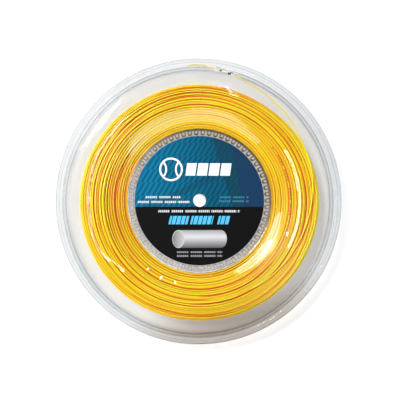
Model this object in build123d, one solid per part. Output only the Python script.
from build123d import *
from math import atan, cos, pi, radians, sin, tan
import os

# A 200 m reel of 1.3 mm tennis string. Millimetres. The reel lies on its rear rim with its axis
# along +Z and the origin at the centre of that rim's plane. The front label reads upright along +Y.
# Heights in a half's outline are measured from the middle plane, so both halves share one outline.

# Clear moulded halves
rim_radius = 137.0
reel_width = 30.0
bore_radius = 6.25
wall = 1.8
boss_radius = 9.5
web_gap = 5.2
dish_foot_radius = 74.0
dish_edge_radius = 92.0
channel_at_dish_edge = 20.8
channel_at_rim = 23.2
lip_width = 3.6
middle = reel_width / 2

# Snap pegs that hold the halves together, under the labels
peg_count = 6
peg_circle_radius = 40.0
peg_radius = 2.0
peg_length = 4.9
socket_wall = 1.4
peg_clearance = 0.08

# Corrugated core ring clamped between the webs
core_radius = 70.7
core_wall = 1.5
scallop_count = 66
scallop_depth = 4.4
scallop_width = 4.3
scallop_wall = 0.9

# Labels
label_radius = 63.2
label_hole_radius = 6.35
label_thickness = 0.15

# String
string_diameter = 1.3
string_length = 200000.0
winding_clearance = 0.3
winding_radius = 115.0
winding_drop = 1.9
winding_shoulder = 3.0
last_turn_lift = 0.62
last_turn_tilt = 40.0
last_turn_start = -40.0
last_turn_end = 20.0

# Tape over the tail, placed by its distance along the tail
tape_from = 114.0
tape_length = 22.0
tape_width = 5.0
tape_thickness = 0.15
tape_clearance = 0.07
tape_wing_height = 0.6


def half_outline():
    """Outline of one clear half, right of the axis: boss, web, conical dish, flange and rim lip."""
    web = web_gap / 2
    edge = channel_at_dish_edge / 2
    rim = channel_at_rim / 2
    lip_inner = rim_radius - lip_width
    dish_slope = (edge - web) / (dish_edge_radius - dish_foot_radius)
    flange_slope = (rim - edge) / (lip_inner - dish_edge_radius)
    dish_rise = wall / cos(atan(dish_slope))
    foot_outer = dish_foot_radius + (wall - dish_rise) / dish_slope
    edge_shift = (dish_rise - wall) / (dish_slope - flange_slope)
    edge_outer = dish_edge_radius - edge_shift
    edge_outer_height = edge + wall - edge_shift * flange_slope
    corners = [
        (bore_radius, 0, 0.3),
        (boss_radius, 0, 0.3),
        (boss_radius, web, 0.8),
        (dish_foot_radius, web, 6.0),
        (dish_edge_radius, edge, 6.0),
        (rim_radius, rim + flange_slope * lip_width, 0.8),
        (rim_radius, middle, 1.2),
        (lip_inner, middle, 1.2),
        (lip_inner, rim + wall, 1.2),
        (edge_outer, edge_outer_height, 4.2),
        (foot_outer, web + wall, 8.0),
        (bore_radius, web + wall, 0.4),
    ]
    points = [(radius, 0, height) for radius, height, _ in corners]
    rounds = [rounding for _, _, rounding in corners]
    return FilletPolyline(*points, radius=rounds, close=True)


def clear_half():
    """One half as moulded, above the middle plane, without its pegs or sockets."""
    return revolve(make_face(half_outline()), Axis.Z)


def at_pegs(shape):
    """Six copies of a shape on the peg circle."""
    return [Rot(0, 0, 60 * i + 30) * Pos(peg_circle_radius, 0, 0) * shape for i in range(peg_count)]


def front_half():
    peg = Pos(0, 0, web_gap / 2 - peg_length) * Cylinder(
        peg_radius, peg_length + 0.5, align=(Align.CENTER, Align.CENTER, Align.MIN)
    )
    return Pos(0, 0, middle) * clear_half().fuse(*at_pegs(peg))


def rear_half():
    socket_radius = peg_radius + peg_clearance
    socket_height = web_gap - 0.6
    socket = Cylinder(
        socket_radius + socket_wall,
        socket_height,
        align=(Align.CENTER, Align.CENTER, Align.MIN),
    )
    hole = Cylinder(
        socket_radius, socket_height, align=(Align.CENTER, Align.CENTER, Align.MIN)
    )
    foot = -web_gap / 2
    mirrored = clear_half().mirror(Plane.XY)
    sockets = at_pegs(Pos(0, 0, foot - 0.01) * socket)
    holes = at_pegs(Pos(0, 0, foot) * hole)
    return Pos(0, 0, middle) * mirrored.fuse(*sockets).cut(*holes)


def scallop():
    """One U of the corrugation, its legs on the barrel wall and its closed end towards the axis."""
    root = core_radius - core_wall + 0.3
    tip = core_radius - core_wall - scallop_depth
    depth = root - tip
    centre = Pos((root + tip) / 2, 0)
    outer = centre * RectangleRounded(depth, scallop_width, 1.6)
    inner_width = scallop_width - 2 * scallop_wall
    inner = Pos(scallop_wall, 0) * centre * RectangleRounded(depth, inner_width, 1.0)
    return outer - inner


def core_ring():
    """Barrel wall with a ring of U-shaped scallops inside it."""
    step = 360 / scallop_count
    barrel = Circle(core_radius) - Circle(core_radius - core_wall)
    scallops = [Rot(0, 0, i * step) * scallop() for i in range(scallop_count)]
    return Pos(0, 0, middle - web_gap / 2) * extrude(barrel + scallops, web_gap)


def label(height):
    disc = Circle(label_radius) - Circle(label_hole_radius)
    return Pos(0, 0, height) * extrude(disc, label_thickness)


def winding_section():
    """Section of the wound string: it fills the channel between the halves out to past its own radius."""
    web = web_gap / 2 - winding_clearance
    edge = channel_at_dish_edge / 2 - winding_clearance
    inner = core_radius + winding_clearance
    outer = winding_radius + 2 * winding_drop
    points = [
        (inner, 0, -web),
        (dish_foot_radius, 0, -web),
        (dish_edge_radius, 0, -edge),
        (outer, 0, -edge),
        (outer, 0, edge),
        (dish_edge_radius, 0, edge),
        (dish_foot_radius, 0, web),
        (inner, 0, web),
    ]
    return make_face(Polyline(*points, close=True))


def winding():
    """The wound string as one ring, a little low on the core, with its last turn standing proud."""
    ring = Pos(0, 0, middle) * revolve(winding_section(), Axis.Z)
    ring &= Pos(0, -winding_drop, middle) * Cylinder(winding_radius, reel_width)
    outer_edges = ring.edges().filter_by(GeomType.CIRCLE).filter_by(
        lambda edge: abs(edge.radius - winding_radius) < 0.01
    )
    ring = fillet(outer_edges, winding_shoulder)
    return ring.fuse(last_turn())


def last_turn_place():
    """Radius and height of the last turn, which lies on the winding's front shoulder."""
    tilt = radians(last_turn_tilt)
    reach = winding_shoulder + last_turn_lift
    top = middle + channel_at_dish_edge / 2 - winding_clearance
    radius = winding_radius - winding_shoulder + reach * cos(tilt)
    return radius, top - winding_shoulder + reach * sin(tilt)


def last_turn():
    """The stretch of string that leads up to the tail."""
    radius, height = last_turn_place()
    arc = CenterArc(
        (0, -winding_drop, height), radius, last_turn_start, last_turn_end - last_turn_start
    )
    return sweep(Plane(arc @ 0, z_dir=arc % 0) * Circle(string_diameter / 2), path=arc)


def leaving_point():
    """Where the tail leaves the winding."""
    radius, height = last_turn_place()
    angle = radians(last_turn_end)
    return (radius * cos(angle), radius * sin(angle) - winding_drop, height)


def string_path(points):
    """Straight runs joined by the largest arcs that the runs allow, and the arcs' radii."""
    vectors = [Vector(*p) for p in points]
    runs = [b - a for a, b in zip(vectors, vectors[1:])]
    radii = []
    for before, after in zip(runs, runs[1:]):
        half_turn = radians(before.get_angle(after)) / 2
        radii.append(0.45 * min(before.length, after.length) / tan(half_turn))
    return FilletPolyline(*points, radius=radii), radii


def tube(path, radii, name):
    """A length of the string along a path."""
    start = Plane(path @ 0, z_dir=path % 0)
    solid = sweep(start * Circle(string_diameter / 2), path=path)
    expected = pi * string_diameter**2 / 4 * path.length
    print(name, "length", round(path.length, 1), "radii", [round(r, 1) for r in radii])
    print(name, "volume", round(solid.volume, 2), "section times length", round(expected, 2))
    return solid


def tail_path():
    """The free end's route: off the winding, out along the inside of the front flange, to the cut end."""
    return string_path([
        leaving_point(),
        (99.2, 59.2, 24.6),
        (84.6, 85.0, 24.9),
        (67.0, 101.6, 25.3),
        (50.5, 112.2, 25.6),
        (35.0, 121.4, 25.7),
        (19.0, 127.0, 25.7),
        (5.0, 130.4, 25.6),
        (-4.6, 132.4, 25.2),
        (-11.2, 130.6, 24.9),
    ])


def string_tail():
    path, radii = tail_path()
    return tube(path, radii, "string_tail")


def end_tape():
    """A strip of clear tape under the tail, its two wings pressed to the inside of the front flange."""
    route, _ = tail_path()
    path = route.trim(tape_from / route.length, (tape_from + tape_length) / route.length)
    inner = string_diameter / 2 + tape_clearance
    outer = inner + tape_thickness
    wing = tape_width / 2
    top = tape_wing_height
    bottom = top - tape_thickness
    edges = [
        Polyline((-outer, 0), (-outer, bottom), (-wing, bottom), (-wing, top), (-inner, top), (-inner, 0)),
        ThreePointArc((-inner, 0), (0, -inner), (inner, 0)),
        Polyline((inner, 0), (inner, top), (wing, top), (wing, bottom), (outer, bottom), (outer, 0)),
        ThreePointArc((outer, 0), (0, -outer), (-outer, 0)),
    ]
    across = Vector(0, 0, 1).cross(path % 0)
    section = Plane(path @ 0, x_dir=across, z_dir=path % 0) * make_face(edges)
    return sweep(section, path=path)


os.makedirs("parts", exist_ok=True)
web_outer = web_gap / 2 + wall
nodes = {
    "front_half": front_half(),
    "rear_half": rear_half(),
    "core_ring": core_ring(),
    "front_label": label(middle + web_outer),
    "rear_label": label(middle - web_outer - label_thickness),
    "string_winding": winding(),
    "string_tail": string_tail(),
    "end_tape": end_tape(),
}
for name, shape in nodes.items():
    export_step(shape, f"parts/{name}.step")
string_volume = string_length * pi * string_diameter**2 / 4
print("share of the winding that is string", round(string_volume / nodes["string_winding"].volume, 3))
